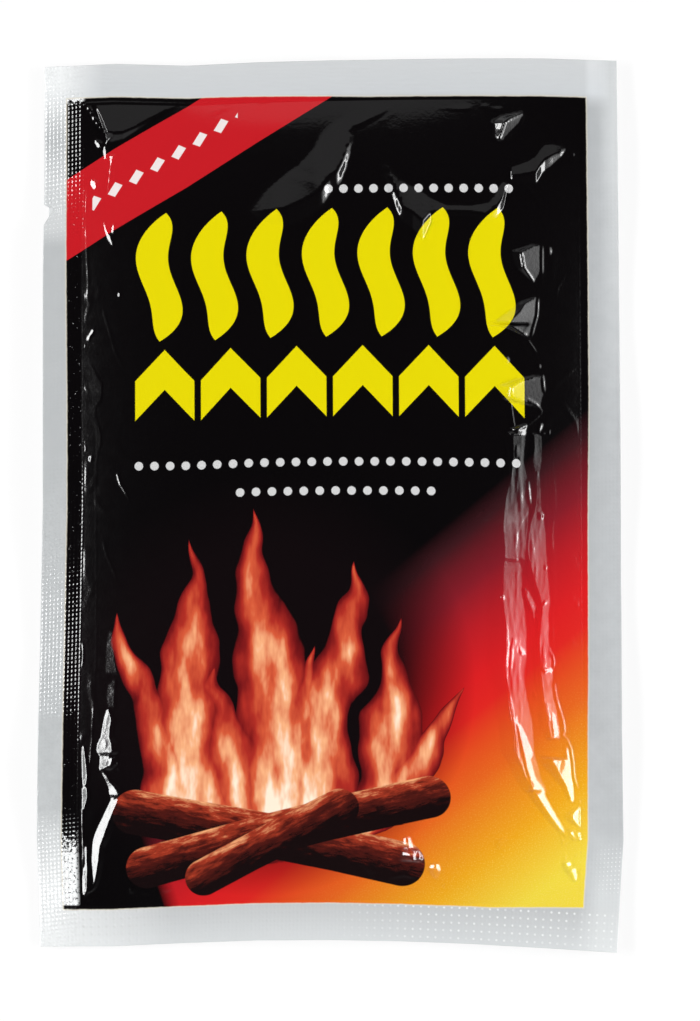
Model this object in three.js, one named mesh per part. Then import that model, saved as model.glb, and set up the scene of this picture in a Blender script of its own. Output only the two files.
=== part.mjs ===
// A disposable hand warmer in its sealed wrapper, lying on its back. Lengths are in millimetres.
// +Z comes out of the printed front, +Y runs to the top of the print and +X to its right.
// The origin is on the surface that the wrapper lies on, under the middle of its outline.

import * as THREE from 'three';

// The heating pad: a filled pocket with a flat sealed edge all round
const padWidth = 57;
const padLength = 92;
const padSealWidth = 5;
const padFrontRise = 3.2; // the pocket's crown over the sealed edge
const padBackDrop = 1.65; // the pocket's flattened back under the sealed edge
const padCoverThickness = 0.2;
const padMembraneThickness = 0.06;
const powderInset = 3; // from the pocket's seam to the powder's edge

// The wrapper: two laminated webs, sealed to each other along four edges
const roomBesidePad = 5.66; // from the pad's side to the side seal
const padTravel = 2.5; // how far the loose pad slides each way along the wrapper
const roomBeyondTravel = 5.9; // from the pad's end, slid all the way, to the end seal
const sideSealWidth = 5.2;
const endSealWidth = 5.6;
const outerFilmThickness = 0.08;
const inkThickness = 0.03;
const sealantThickness = 0.06;
const sheetGap = 0.02; // between sheets that lie on each other
const roomOverPad = 0.5;
const roomUnderPad = 0.3;

// The printed panel's margins, from the wrapper's cut edges
const printMarginLeft = 3.3;
const printMarginRight = 4.5;
const printMarginTop = 4.5;
const printMarginBottom = 5.2;

// The tear notch in the left edge, and how far the cut edges stray from a true rectangle
const notchFromTop = 19.5;
const notchDepth = 1.25;
const notchMouthAbove = 0.7;
const notchMouthBelow = 2.1;
const edgeStray = 1;

// The sealed border droops from the pad's height towards the surface, in shallow waves, and its left side
// in waves of its own
const borderDroop = 0.7;
const borderWaveHeight = 0.35;
const borderWaveLength = 38;
const leftWaveHeight = 0.8;

// Folds that stand up along the pad's sides: a low one on the left and two high ones on the right, each
// with a steep flank and a wide one
const leftFoldHeight = 0.3;
const leftFoldSteepWidth = 0.7;
const leftFoldWideWidth = 0.9;
const leftFoldBesidePad = 3.3;
const leftFoldTopFromMiddle = 21;
const leftFoldBottomFromMiddle = 28;
const innerFoldHeight = 0.72;
const innerFoldSteepWidth = 1.5;
const innerFoldWideWidth = 3;
const innerFoldInsidePad = 5.1;
const outerFoldHeight = 0.5;
const outerFoldSteepWidth = 0.9;
const outerFoldWideWidth = 1.6;
const outerFoldInsidePad = 0.4;
const rightFoldTopFromMiddle = 11;
const rightFoldBottomFromMiddle = 44;

// The facets
const columnSpacing = 9;
const rowSpacing = 8;
const padColumnSpacing = 6;
const padRowSpacing = 8;
const leastSpacing = 2.2;

// Sizes that follow from these
const padHalfWidth = padWidth / 2;
const padHalfLength = padLength / 2;
const pocketHalfWidth = padHalfWidth - padSealWidth;
const pocketHalfLength = padHalfLength - padSealWidth;
const hollowHalfWidth = padHalfWidth + roomBesidePad;
const hollowHalfLength = padHalfLength + padTravel + roomBeyondTravel;
const halfWidth = hollowHalfWidth + sideSealWidth;
const halfLength = hollowHalfLength + endSealWidth;
const printLeft = printMarginLeft - halfWidth;
const printRight = halfWidth - printMarginRight;
const printTop = halfLength - printMarginTop;
const printBottom = printMarginBottom - halfLength;
const notchTip = halfLength - notchFromTop;

// Half the pad's sealed edge, from its middle plane to the outside of a cover
const padEdgeHalf = sheetGap / 2 + padMembraneThickness + sheetGap + padCoverThickness;
const backWebThickness = outerFilmThickness + sheetGap + sealantThickness;
const middleHeight = backWebThickness + roomUnderPad + padBackDrop + padEdgeHalf;
const frontLift = padFrontRise + padEdgeHalf + roomOverPad;
const backDrop = middleHeight - sheetGap / 2 - backWebThickness;

// How full a pillow is at a point, from 1 in its middle to 0 at its seams
function fullness(x, y, halfAcross, halfAlong, acrossPower, alongPower) {
  const acrossShare = Math.min(1, Math.abs(x) / halfAcross);
  const alongShare = Math.min(1, Math.abs(y) / halfAlong);
  return (1 - acrossShare ** acrossPower) * (1 - alongShare ** alongPower);
}

// The higher the power, the flatter the top and the steeper its sides
const padSidePower = 3;
const padEndPower = 4;
const wrapperSidePower = 3;
const wrapperEndPower = 5;
const padFullness = (x, y) =>
  fullness(x, y, pocketHalfWidth, pocketHalfLength, padSidePower, padEndPower);
const wrapperFullness = (x, y) =>
  fullness(x, y, hollowHalfWidth, hollowHalfLength, wrapperSidePower, wrapperEndPower);

// The backs are pressed flat by what the wrapper lies on, more so the higher these are
const padFlattening = 2.4;
const wrapperFlattening = 1.6;
const padFront = (x, y) => middleHeight + padFrontRise * padFullness(x, y);
const padBack = (x, y) => middleHeight - padBackDrop * Math.min(1, padFlattening * padFullness(x, y));

// How far a point is into the sealed border, from 0 at the hollow to 1 at the cut edge
function borderShare(x, y) {
  const sideShare = THREE.MathUtils.clamp((Math.abs(x) - hollowHalfWidth) / sideSealWidth, 0, 1);
  const endShare = THREE.MathUtils.clamp((Math.abs(y) - hollowHalfLength) / endSealWidth, 0, 1);
  return sideShare + endShare - sideShare * endShare;
}

// A value between the listed ones, which stand at even steps
function atShare(values, share) {
  const place = THREE.MathUtils.clamp(share, 0, 1) * (values.length - 1);
  const step = Math.min(values.length - 2, Math.floor(place));
  return THREE.MathUtils.lerp(values[step], values[step + 1], place - step);
}

// The left side's waves, as shares of leftWaveHeight at even steps from the bottom up
const leftWaveShares = [
  -1.3, -1.3, -0.4, 0.4, -0.3, -0.9, -0.45, 0.3, 0.6, 0.5, 0.45, 0.45, 0.45, -0.7, -0.9, -0.8,
];

function sealHeight(x, y) {
  const turn = (2 * Math.PI * (x + y)) / borderWaveLength;
  const leftWave = leftWaveHeight * atShare(leftWaveShares, (y + halfLength) / (2 * halfLength));
  const leftShare = THREE.MathUtils.clamp(-x / hollowHalfWidth, 0, 1);
  const wave = THREE.MathUtils.lerp(borderWaveHeight * Math.sin(turn), leftWave, leftShare);
  return middleHeight + borderShare(x, y) * (wave - borderDroop);
}

const folds = [
  {
    x: -padHalfWidth - leftFoldBesidePad,
    height: leftFoldHeight,
    steepWidth: leftFoldSteepWidth,
    wideWidth: leftFoldWideWidth,
    top: leftFoldTopFromMiddle,
    bottom: -leftFoldBottomFromMiddle,
  },
  {
    x: padHalfWidth - innerFoldInsidePad,
    height: innerFoldHeight,
    steepWidth: innerFoldSteepWidth,
    wideWidth: innerFoldWideWidth,
    top: rightFoldTopFromMiddle,
    bottom: -rightFoldBottomFromMiddle,
  },
  {
    x: padHalfWidth - outerFoldInsidePad,
    height: outerFoldHeight,
    steepWidth: outerFoldSteepWidth,
    wideWidth: outerFoldWideWidth,
    top: rightFoldTopFromMiddle,
    bottom: -rightFoldBottomFromMiddle,
  },
];

// A fold is a sharp ridge, steep on its left and wide on its right, that fades in and out along its run
function foldRise(x, y) {
  let rise = 0;
  for (const fold of folds) {
    const acrossShare = x < fold.x ? (fold.x - x) / fold.steepWidth : (x - fold.x) / fold.wideWidth;
    const alongShare = (y - fold.bottom) / (fold.top - fold.bottom);
    if (acrossShare < 1 && alongShare > 0 && alongShare < 1) {
      rise += fold.height * (1 - acrossShare) * Math.sin(Math.PI * alongShare);
    }
  }
  return rise;
}

const wrapperFront = (x, y) => sealHeight(x, y) + frontLift * wrapperFullness(x, y) + foldRise(x, y);
const wrapperBack = (x, y) =>
  sealHeight(x, y) - backDrop * Math.min(1, wrapperFlattening * wrapperFullness(x, y));

// The cut edges' stray, outwards, as shares of edgeStray at even steps: from the bottom to the top of
// the sides, and from the left to the right of the ends
const leftStrayShares = [0.05, 0.53, 0.33, 0, -0.32, -0.32, -0.32, -0.5, -0.55];
const rightStrayShares = [-0.4, 0.53, 0.3, 0.25, 0.16, 0.05, -0.07, -0.25, -0.43];
const bottomStrayShares = [0, -0.05, -0.5, -0.9, -0.97, -0.77, -0.4, 0.13, 0.76];
const topStrayShares = [-0.35, 0.06, -0.2, 0.25, 0.52, 0.69, 0.76, 0.74, 0.46];

const stray = (shares, share) => edgeStray * atShare(shares, share);

// Where a point of the true rectangle lies in the real outline
function wrapperPlace(x, y) {
  const acrossShare = (x + halfWidth) / (2 * halfWidth);
  const alongShare = (y + halfLength) / (2 * halfLength);
  const left = -stray(leftStrayShares, alongShare);
  const right = stray(rightStrayShares, alongShare);
  const bottom = -stray(bottomStrayShares, acrossShare);
  const top = stray(topStrayShares, acrossShare);
  const notched = x === -halfWidth && y === notchTip;
  return [
    x + THREE.MathUtils.lerp(left, right, acrossShare) + (notched ? notchDepth : 0),
    y + THREE.MathUtils.lerp(bottom, top, alongShare),
  ];
}

const padPlace = (x, y) => [x, y];

// Grid lines from one side to the other: the needed ones, and even ones where these leave room
function gridLines(low, high, spacing, needed) {
  const inside = needed.filter((line) => line > low && line < high);
  const lines = [low, high, ...inside];
  const steps = Math.max(2, Math.round((high - low) / spacing));
  for (let step = 1; step < steps; step += 1) {
    const line = low + ((high - low) * step) / steps;
    if (lines.every((other) => Math.abs(other - line) > leastSpacing)) {
      lines.push(line);
    }
  }
  return [...new Set(lines)].sort((a, b) => a - b);
}

const foldLines = folds.flatMap((fold) => [fold.x - fold.steepWidth, fold.x, fold.x + fold.wideWidth]);
const wrapperColumns = gridLines(-halfWidth, halfWidth, columnSpacing, [
  -hollowHalfWidth,
  hollowHalfWidth,
  printLeft,
  printRight,
  ...foldLines,
]);
const wrapperRows = gridLines(-halfLength, halfLength, rowSpacing, [
  -hollowHalfLength,
  hollowHalfLength,
  printBottom,
  printTop,
  notchTip - notchMouthBelow,
  notchTip,
  notchTip + notchMouthAbove,
]);
const printColumns = wrapperColumns.filter((x) => x >= printLeft && x <= printRight);
const printRows = wrapperRows.filter((y) => y >= printBottom && y <= printTop);

const powderHalfWidth = pocketHalfWidth - powderInset;
const powderHalfLength = pocketHalfLength - powderInset;
const padColumns = gridLines(-padHalfWidth, padHalfWidth, padColumnSpacing, [
  -pocketHalfWidth,
  -powderHalfWidth,
  powderHalfWidth,
  pocketHalfWidth,
]);
const padRows = gridLines(-padHalfLength, padHalfLength, padRowSpacing, [
  -pocketHalfLength,
  -powderHalfLength,
  powderHalfLength,
  pocketHalfLength,
]);
const powderColumns = padColumns.filter((x) => Math.abs(x) <= powderHalfWidth);
const powderRows = padRows.filter((y) => Math.abs(y) <= powderHalfLength);

// A closed sheet on a grid: its upper and lower surfaces, joined round its rim
function sheetGeometry(columns, rows, lowAt, highAt, placeAt) {
  const points = [];
  for (const heightAt of [lowAt, highAt]) {
    for (const y of rows) {
      for (const x of columns) {
        points.push(...placeAt(x, y), heightAt(x, y));
      }
    }
  }
  const across = columns.length;
  const layer = across * rows.length;
  const faces = [];
  for (let row = 0; row < rows.length - 1; row += 1) {
    for (let column = 0; column < across - 1; column += 1) {
      const a = row * across + column;
      const b = a + 1;
      const c = b + across;
      const d = a + across;
      faces.push(a, c, b, a, d, c);
      faces.push(layer + a, layer + b, layer + c, layer + a, layer + c, layer + d);
    }
  }
  const rim = [];
  for (let column = 0; column < across - 1; column += 1) {
    rim.push(column);
  }
  for (let row = 0; row < rows.length - 1; row += 1) {
    rim.push(row * across + across - 1);
  }
  for (let column = across - 1; column > 0; column -= 1) {
    rim.push((rows.length - 1) * across + column);
  }
  for (let row = rows.length - 1; row > 0; row -= 1) {
    rim.push(row * across);
  }
  rim.forEach((start, step) => {
    const end = rim[(step + 1) % rim.length];
    faces.push(start, end, layer + end, start, layer + end, layer + start);
  });
  const geometry = new THREE.BufferGeometry();
  geometry.setAttribute('position', new THREE.Float32BufferAttribute(points, 3));
  geometry.setIndex(faces);
  geometry.computeVertexNormals();
  return geometry;
}

function namedMesh(name, geometry, material) {
  const mesh = new THREE.Mesh(geometry, material);
  mesh.name = name;
  return mesh;
}

// A sheet of even thickness, whose lower surface stands a given height over a base surface
function evenSheet(name, columns, rows, placeAt, baseAt, height, thickness, material) {
  const lowAt = (x, y) => baseAt(x, y) + height;
  const highAt = (x, y) => baseAt(x, y) + height + thickness;
  return namedMesh(name, sheetGeometry(columns, rows, lowAt, highAt, placeAt), material);
}

// The front web, from the inside out: the sealing film, the ink panel and the clear outer film
function makeFrontWeb() {
  const sealantHeight = sheetGap / 2;
  const inkHeight = sealantHeight + sealantThickness + sheetGap;
  const filmHeight = inkHeight + inkThickness + sheetGap;
  const sealant = new THREE.MeshStandardMaterial({ color: 0xe6e9ea, roughness: 0.35, metalness: 0 });
  const ink = new THREE.MeshStandardMaterial({ color: 0x0d0b0e, roughness: 0.3, metalness: 0 });
  const film = new THREE.MeshStandardMaterial({
    color: 0xdfe3e5,
    roughness: 0.12,
    metalness: 0,
    transparent: true,
    opacity: 0.35,
  });
  return [
    evenSheet('wrapper_front_sealant', wrapperColumns, wrapperRows, wrapperPlace, wrapperFront,
      sealantHeight, sealantThickness, sealant),
    evenSheet('wrapper_print_layer', printColumns, printRows, wrapperPlace, wrapperFront,
      inkHeight, inkThickness, ink),
    evenSheet('wrapper_front_film', wrapperColumns, wrapperRows, wrapperPlace, wrapperFront,
      filmHeight, outerFilmThickness, film),
  ];
}

// The back web: the sealing film, and the pale outer film that the wrapper lies on
function makeBackWeb() {
  const sealantHeight = -sheetGap / 2 - sealantThickness;
  const filmHeight = sealantHeight - sheetGap - outerFilmThickness;
  const sealant = new THREE.MeshStandardMaterial({ color: 0xe6e9ea, roughness: 0.35, metalness: 0 });
  const film = new THREE.MeshStandardMaterial({ color: 0xd2d6d8, roughness: 0.2, metalness: 0 });
  return [
    evenSheet('wrapper_back_sealant', wrapperColumns, wrapperRows, wrapperPlace, wrapperBack,
      sealantHeight, sealantThickness, sealant),
    evenSheet('wrapper_back_film', wrapperColumns, wrapperRows, wrapperPlace, wrapperBack,
      filmHeight, outerFilmThickness, film),
  ];
}

// The pad: a perforated membrane and a non-woven cover on each side, sealed round the edge
function makePad() {
  const membraneHeight = sheetGap / 2;
  const coverHeight = membraneHeight + padMembraneThickness + sheetGap;
  const membrane = new THREE.MeshStandardMaterial({ color: 0xeceeec, roughness: 0.45, metalness: 0 });
  const cover = new THREE.MeshStandardMaterial({ color: 0xf2f1ec, roughness: 0.9, metalness: 0 });
  return [
    evenSheet('pad_front_membrane', padColumns, padRows, padPlace, padFront,
      membraneHeight, padMembraneThickness, membrane),
    evenSheet('pad_front_cover', padColumns, padRows, padPlace, padFront,
      coverHeight, padCoverThickness, cover),
    evenSheet('pad_back_membrane', padColumns, padRows, padPlace, padBack,
      -membraneHeight - padMembraneThickness, padMembraneThickness, membrane.clone()),
    evenSheet('pad_back_cover', padColumns, padRows, padPlace, padBack,
      -coverHeight - padCoverThickness, padCoverThickness, cover.clone()),
  ];
}

// The powder fills the pocket between the two membranes and thins out towards its seams
function makePowder() {
  const lowAt = (x, y) => padBack(x, y) + sheetGap / 2;
  const highAt = (x, y) => padFront(x, y) - sheetGap / 2;
  const powder = new THREE.MeshStandardMaterial({ color: 0x2b2826, roughness: 0.95, metalness: 0.1 });
  const geometry = sheetGeometry(powderColumns, powderRows, lowAt, highAt, padPlace);
  return namedMesh('heating_powder', geometry, powder);
}

const handWarmer = new THREE.Group();
handWarmer.add(...makeBackWeb(), ...makePad(), makePowder(), ...makeFrontWeb());

export default handWarmer;
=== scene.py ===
import math

import bpy
import numpy as np
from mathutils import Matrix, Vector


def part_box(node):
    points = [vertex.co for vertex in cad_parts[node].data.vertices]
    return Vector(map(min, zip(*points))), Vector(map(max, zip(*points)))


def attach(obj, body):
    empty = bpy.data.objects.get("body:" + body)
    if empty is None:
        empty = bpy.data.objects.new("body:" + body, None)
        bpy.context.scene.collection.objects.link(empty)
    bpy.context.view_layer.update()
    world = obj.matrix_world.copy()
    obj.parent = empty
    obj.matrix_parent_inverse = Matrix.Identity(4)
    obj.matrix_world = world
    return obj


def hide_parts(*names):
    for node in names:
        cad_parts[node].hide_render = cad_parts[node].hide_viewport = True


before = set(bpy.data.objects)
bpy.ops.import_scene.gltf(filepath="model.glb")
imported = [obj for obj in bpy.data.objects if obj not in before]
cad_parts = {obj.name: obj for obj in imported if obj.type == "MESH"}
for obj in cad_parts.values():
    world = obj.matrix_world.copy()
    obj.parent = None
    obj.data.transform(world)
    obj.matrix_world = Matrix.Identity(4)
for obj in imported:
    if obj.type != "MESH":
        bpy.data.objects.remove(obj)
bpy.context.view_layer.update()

# The camera
# It looks straight down on the printed front, with the top of the print up, and takes in 139 mm of the
# surface that the wrapper lies on. Lengths in this script are in millimetres until a mesh is made.
MM = 0.001
camera_height = 900
camera_middle = (2.7, -0.67)
view_height = 139.06
film_plane = 36

camera_data = bpy.data.cameras.new("camera")
camera_data.sensor_fit = "VERTICAL"
camera_data.sensor_height = film_plane
camera_data.lens = film_plane * camera_height / view_height
camera = bpy.data.objects.new("camera", camera_data)
camera.location = (camera_middle[0] * MM, camera_middle[1] * MM, camera_height * MM)
bpy.context.scene.collection.objects.link(camera)
bpy.context.scene.camera = camera
bpy.context.scene.view_settings.view_transform = "Standard"


# The floor
# A plain white table top that runs to the horizon. It glows a little, so that it reads as white, and
# still keeps the wrapper's faint shadow.
class Amount:
    """A number that varies over a surface. It is added, multiplied and compared as plain numbers are."""

    # NumPy's own numbers leave their sums with an Amount to this class
    __array_ufunc__ = None

    def __init__(self, recipe, socket):
        self.recipe, self.socket = recipe, socket

    def maths(self, operation, *others):
        return self.recipe.maths(operation, self, *others)

    def __add__(self, other):
        return self.maths("ADD", other)

    def __sub__(self, other):
        return self.maths("SUBTRACT", other)

    def __rsub__(self, other):
        return self.recipe.maths("SUBTRACT", other, self)

    def __mul__(self, other):
        return self.maths("MULTIPLY", other)

    def __truediv__(self, other):
        return self.maths("DIVIDE", other)

    def __abs__(self):
        return self.maths("ABSOLUTE")

    def at_least(self, other):
        return self.maths("MAXIMUM", other)

    def at_most(self, other):
        return self.maths("MINIMUM", other)

    def step(self, start, end):
        """0 before start and 1 beyond end, which may be the smaller of the two."""
        inputs = {"Value": self, "From Min": start, "From Max": end}
        return self.recipe.amount("ShaderNodeMapRange", "Result", inputs)

    def within(self, low, high, soft):
        """1 between low and high and 0 outside them, with a soft edge inside each."""
        return self.step(low, low + soft) * self.step(high, high - soft)


class Recipe:
    """The nodes of one material or of the world, added one at a time."""

    def __init__(self, owner):
        owner.use_nodes = True
        self.tree = owner.node_tree
        self.tree.nodes.clear()

    def node(self, kind, inputs=(), **settings):
        node = self.tree.nodes.new(kind)
        for name, value in settings.items():
            setattr(node, name, value)
        for name, value in dict(inputs).items():
            if isinstance(value, Amount):
                value = value.socket
            if isinstance(value, bpy.types.NodeSocket):
                self.tree.links.new(value, node.inputs[name])
            else:
                node.inputs[name].default_value = value
        return node

    def amount(self, kind, output, inputs, **settings):
        """What one output of a new node gives, as an Amount."""
        return Amount(self, self.node(kind, inputs, **settings).outputs[output])

    def maths(self, operation, *values):
        return self.amount("ShaderNodeMath", 0, enumerate(values), operation=operation)

    def noise(self, place, scale, detail=2.0, roughness=0.5):
        inputs = {"Vector": place, "Scale": scale, "Detail": detail, "Roughness": roughness}
        return self.amount("ShaderNodeTexNoise", "Fac", inputs)

    def ramp(self, value, stops):
        ramp = self.node("ShaderNodeValToRGB", {"Fac": value})
        elements = ramp.color_ramp.elements
        while len(elements) < len(stops):
            elements.new(1)
        for element, (place, colour) in zip(elements, stops):
            element.position = place
            element.color = colour
        return ramp.outputs["Color"]

    def stretched(self, place, scales):
        """A place with its axes scaled apart, which draws a noise out along the axis of the least scale."""
        return self.node("ShaderNodeVectorMath", {0: place, 1: scales}, operation="MULTIPLY").outputs[0]

    def blend(self, share, under, over):
        # The node's sockets 6 and 7 and its output 2 are the ones for colours
        return self.node("ShaderNodeMix", {0: share, 6: under, 7: over}, data_type="RGBA").outputs[2]


floor_half = 20000
floor_reach = floor_half * MM
floor_corners = [(-1, -1), (1, -1), (1, 1), (-1, 1)]
floor_mesh = bpy.data.meshes.new("floor")
floor_mesh.from_pydata([(x * floor_reach, y * floor_reach, 0) for x, y in floor_corners], [], [(0, 1, 2, 3)])
floor = bpy.data.objects.new("floor", floor_mesh)
bpy.context.scene.collection.objects.link(floor)

floor_glow = 0.85
floor_finish = bpy.data.materials.new("floor_white")
recipe = Recipe(floor_finish)
matt_white = recipe.node("ShaderNodeBsdfDiffuse", {"Color": (0.93, 0.93, 0.93, 1)})
glow_white = recipe.node("ShaderNodeEmission", {"Color": (1, 1, 1, 1), "Strength": 1.02})
rays = recipe.node("ShaderNodeLightPath").outputs
seen = recipe.maths("MAXIMUM", rays["Is Camera Ray"], rays["Is Glossy Ray"])
seen = seen.at_least(rays["Is Transmission Ray"]) * floor_glow
mixed = recipe.node("ShaderNodeMixShader", {0: seen, 1: matt_white.outputs[0], 2: glow_white.outputs[0]})
recipe.node("ShaderNodeOutputMaterial", {"Surface": mixed.outputs[0]})
floor_mesh.materials.append(floor_finish)


# The lights
# Pale walls under a dark ceiling, so that flat black film stays black. Strong lamps at the left and the
# lower right make the glints, a soft one with a brighter core fills the right folds, and a dim panel is
# at the top.
world = bpy.data.worlds.new("studio")
bpy.context.scene.world = world
recipe = Recipe(world)
direction = recipe.node("ShaderNodeTexCoord").outputs["Generated"]
up_share = recipe.node("ShaderNodeSeparateXYZ", {0: direction}).outputs["Z"]
wall_light = recipe.ramp(up_share, [
    (0.0, (0.55, 0.55, 0.556, 1)),
    (0.38, (0.55, 0.55, 0.556, 1)),
    (0.5, (0.2, 0.2, 0.205, 1)),
    (0.8, (0.04, 0.04, 0.042, 1)),
    (1.0, (0.02, 0.02, 0.022, 1)),
])
background = recipe.node("ShaderNodeBackground", {"Color": wall_light, "Strength": 1.0})
recipe.node("ShaderNodeOutputWorld", {"Surface": background.outputs[0]})

lamp_distance = 1000
# Each lamp: how far it hangs from straight overhead and how far round from the right, both in degrees, its
# width and length, and its radiance
lamps = {
    "lamp_left": (51.5, 175, 140, 700, 19),
    "lamp_left_rim": (54, 175, 260, 700, 5),
    "lamp_left_glow": (55, 175, 430, 800, 0.25),
    "lamp_right": (55, 4, 400, 1100, 1.0),
    "lamp_right_middle": (57, 4, 320, 1000, 0.8),
    "lamp_right_rim": (58, 4, 230, 900, 0.9),
    "lamp_right_core": (59, 4, 150, 800, 0.9),
    "spot_right": (64, -8, 140, 880, 16.5),
    "panel_beyond_top": (44, 92, 200, 1100, 0.37),
}
for name, (off_overhead, round_from_right, width, length, radiance) in lamps.items():
    lamp_data = bpy.data.lights.new(name, "AREA")
    lamp_data.shape = "RECTANGLE"
    lamp_data.size, lamp_data.size_y = width * MM, length * MM
    lamp_data.energy = radiance * math.pi * width * length * MM * MM
    lamp = bpy.data.objects.new(name, lamp_data)
    tilt, turn = math.radians(off_overhead), math.radians(round_from_right)
    reach = lamp_distance * MM
    lamp_across = math.sin(tilt) * reach
    lamp.location = (lamp_across * math.cos(turn), lamp_across * math.sin(turn), math.cos(tilt) * reach)
    lamp.rotation_euler = (0, tilt, turn)
    bpy.context.scene.collection.objects.link(lamp)


# The front web's seals
# The outer film is clear, glossy and printed on its inner side, and it is milky where there is no ink.
# Hot ribbed jaws press it to the back web along all four sides, so each seal carries a fine emboss.
pad_low, pad_high = (np.array(corner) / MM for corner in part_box("pad_front_cover"))
pad_half_width = (pad_high[0] - pad_low[0]) / 2
pad_half_length = (pad_high[1] - pad_low[1]) / 2
room_beside_pad = 5.66
pad_travel = 2.5
room_beyond_travel = 5.9
side_seal_width = 5.2
end_seal_width = 5.6
outer_film_thickness = 0.08
ink_thickness = 0.03
sealant_thickness = 0.06
sheet_gap = 0.02
room_over_pad = 0.5
room_under_pad = 0.3
pad_cover_thickness = 0.2
pad_membrane_thickness = 0.06
pad_front_rise = 3.2
pad_back_drop = 1.65
border_droop = 0.7
border_wave_height = 0.35
border_wave_length = 38
left_wave_height = 0.8
back_flatness = 1.6
notch_from_top = 19.5
notch_depth = 1.25
notch_mouth_above = 0.7
notch_mouth_below = 2.1
notch_reach = 2.6

hollow_half_width = pad_half_width + room_beside_pad
hollow_half_length = pad_half_length + pad_travel + room_beyond_travel
half_width = hollow_half_width + side_seal_width
half_length = hollow_half_length + end_seal_width
pad_edge_half = sheet_gap / 2 + pad_membrane_thickness + sheet_gap + pad_cover_thickness
back_web_thickness = outer_film_thickness + sheet_gap + sealant_thickness
middle_height = back_web_thickness + room_under_pad + pad_back_drop + pad_edge_half
front_lift = pad_front_rise + pad_edge_half + room_over_pad
back_drop = middle_height - sheet_gap / 2 - back_web_thickness
sealant_top = sheet_gap / 2 + sealant_thickness
ink_top = sealant_top + sheet_gap + ink_thickness
film_top = ink_top + sheet_gap + outer_film_thickness

photo_scale = 0.1362
photo_middle = (330.15, 505.55)


def across(pixel):
    """The place across the wrapper of a pixel column of the photograph."""
    return (pixel - photo_middle[0]) * photo_scale


def up(pixel):
    """The place along the wrapper of a pixel row of the photograph."""
    return (photo_middle[1] - pixel) * photo_scale


# How far the cut edges stray outwards, in millimetres, from the bottom up and from left to right
left_stray = [0.05, 0.53, 0.33, 0, -0.32, -0.32, -0.32, -0.5, -0.55]
right_stray = [-0.4, 0.53, 0.3, 0.25, 0.16, 0.05, -0.07, -0.25, -0.43]
bottom_stray = [0, -0.05, -0.5, -0.9, -0.97, -0.77, -0.4, 0.13, 0.76]
top_stray = [-0.35, 0.06, -0.2, 0.25, 0.52, 0.69, 0.76, 0.74, 0.46]
# How far the left seal droops in waves of its own, in shares of their height, from the bottom up
left_droop = [1.3, 1.3, 0.4, -0.4, 0.3, 0.9, 0.45, -0.3, -0.6, -0.5, -0.45, -0.45, -0.45, 0.7, 0.9, 0.8]


def at_share(distances, share):
    """A list of distances at even steps, read at a share of its length."""
    return np.interp(share, np.linspace(0, 1, len(distances)), distances)


def cut_place(x, y):
    """Where a point of the true rectangle lies in the real wrapper, whose cut edges stray."""
    share_across = (x + half_width) / (2 * half_width)
    share_along = (y + half_length) / (2 * half_length)
    left, right = -at_share(left_stray, share_along), at_share(right_stray, share_along)
    bottom, top = -at_share(bottom_stray, share_across), at_share(top_stray, share_across)
    notch_tip = half_length - notch_from_top
    mouth = np.where(y > notch_tip, notch_mouth_above, notch_mouth_below)
    notch = np.clip(1 - np.abs(y - notch_tip) / mouth, 0, 1)
    notch *= notch_depth * np.clip(1 - (x + half_width) / notch_reach, 0, 1)
    return x + left + (right - left) * share_across + notch, y + bottom + (top - bottom) * share_along


def fullness(x, y, half_across, half_along, across_power, along_power):
    """How full a pillow is, from 1 in its middle to 0 at its seams."""
    full_across = 1 - np.minimum(1, np.abs(x) / half_across) ** across_power
    full_along = 1 - np.minimum(1, np.abs(y) / half_along) ** along_power
    return full_across * full_along


def wrapper_fullness(x, y):
    return fullness(x, y, hollow_half_width, hollow_half_length, across_power=3, along_power=5)


def seal_height(x, y):
    """The height of the sealed border, which droops to the table in shallow waves."""
    side = np.clip((np.abs(x) - hollow_half_width) / side_seal_width, 0, 1)
    end = np.clip((np.abs(y) - hollow_half_length) / end_seal_width, 0, 1)
    in_seal = side + end - side * end
    waves = border_wave_height * np.sin(2 * np.pi * (x + y) / border_wave_length)
    left_waves = -left_wave_height * at_share(left_droop, (y + half_length) / (2 * half_length))
    at_left = np.clip(-x / hollow_half_width, 0, 1)
    waves += at_left * (left_waves - waves)
    return middle_height + in_seal * (waves - border_droop)


def front_height(x, y):
    return seal_height(x, y) + front_lift * wrapper_fullness(x, y)


def back_height(x, y):
    return seal_height(x, y) - back_drop * np.minimum(1, back_flatness * wrapper_fullness(x, y))


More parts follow.
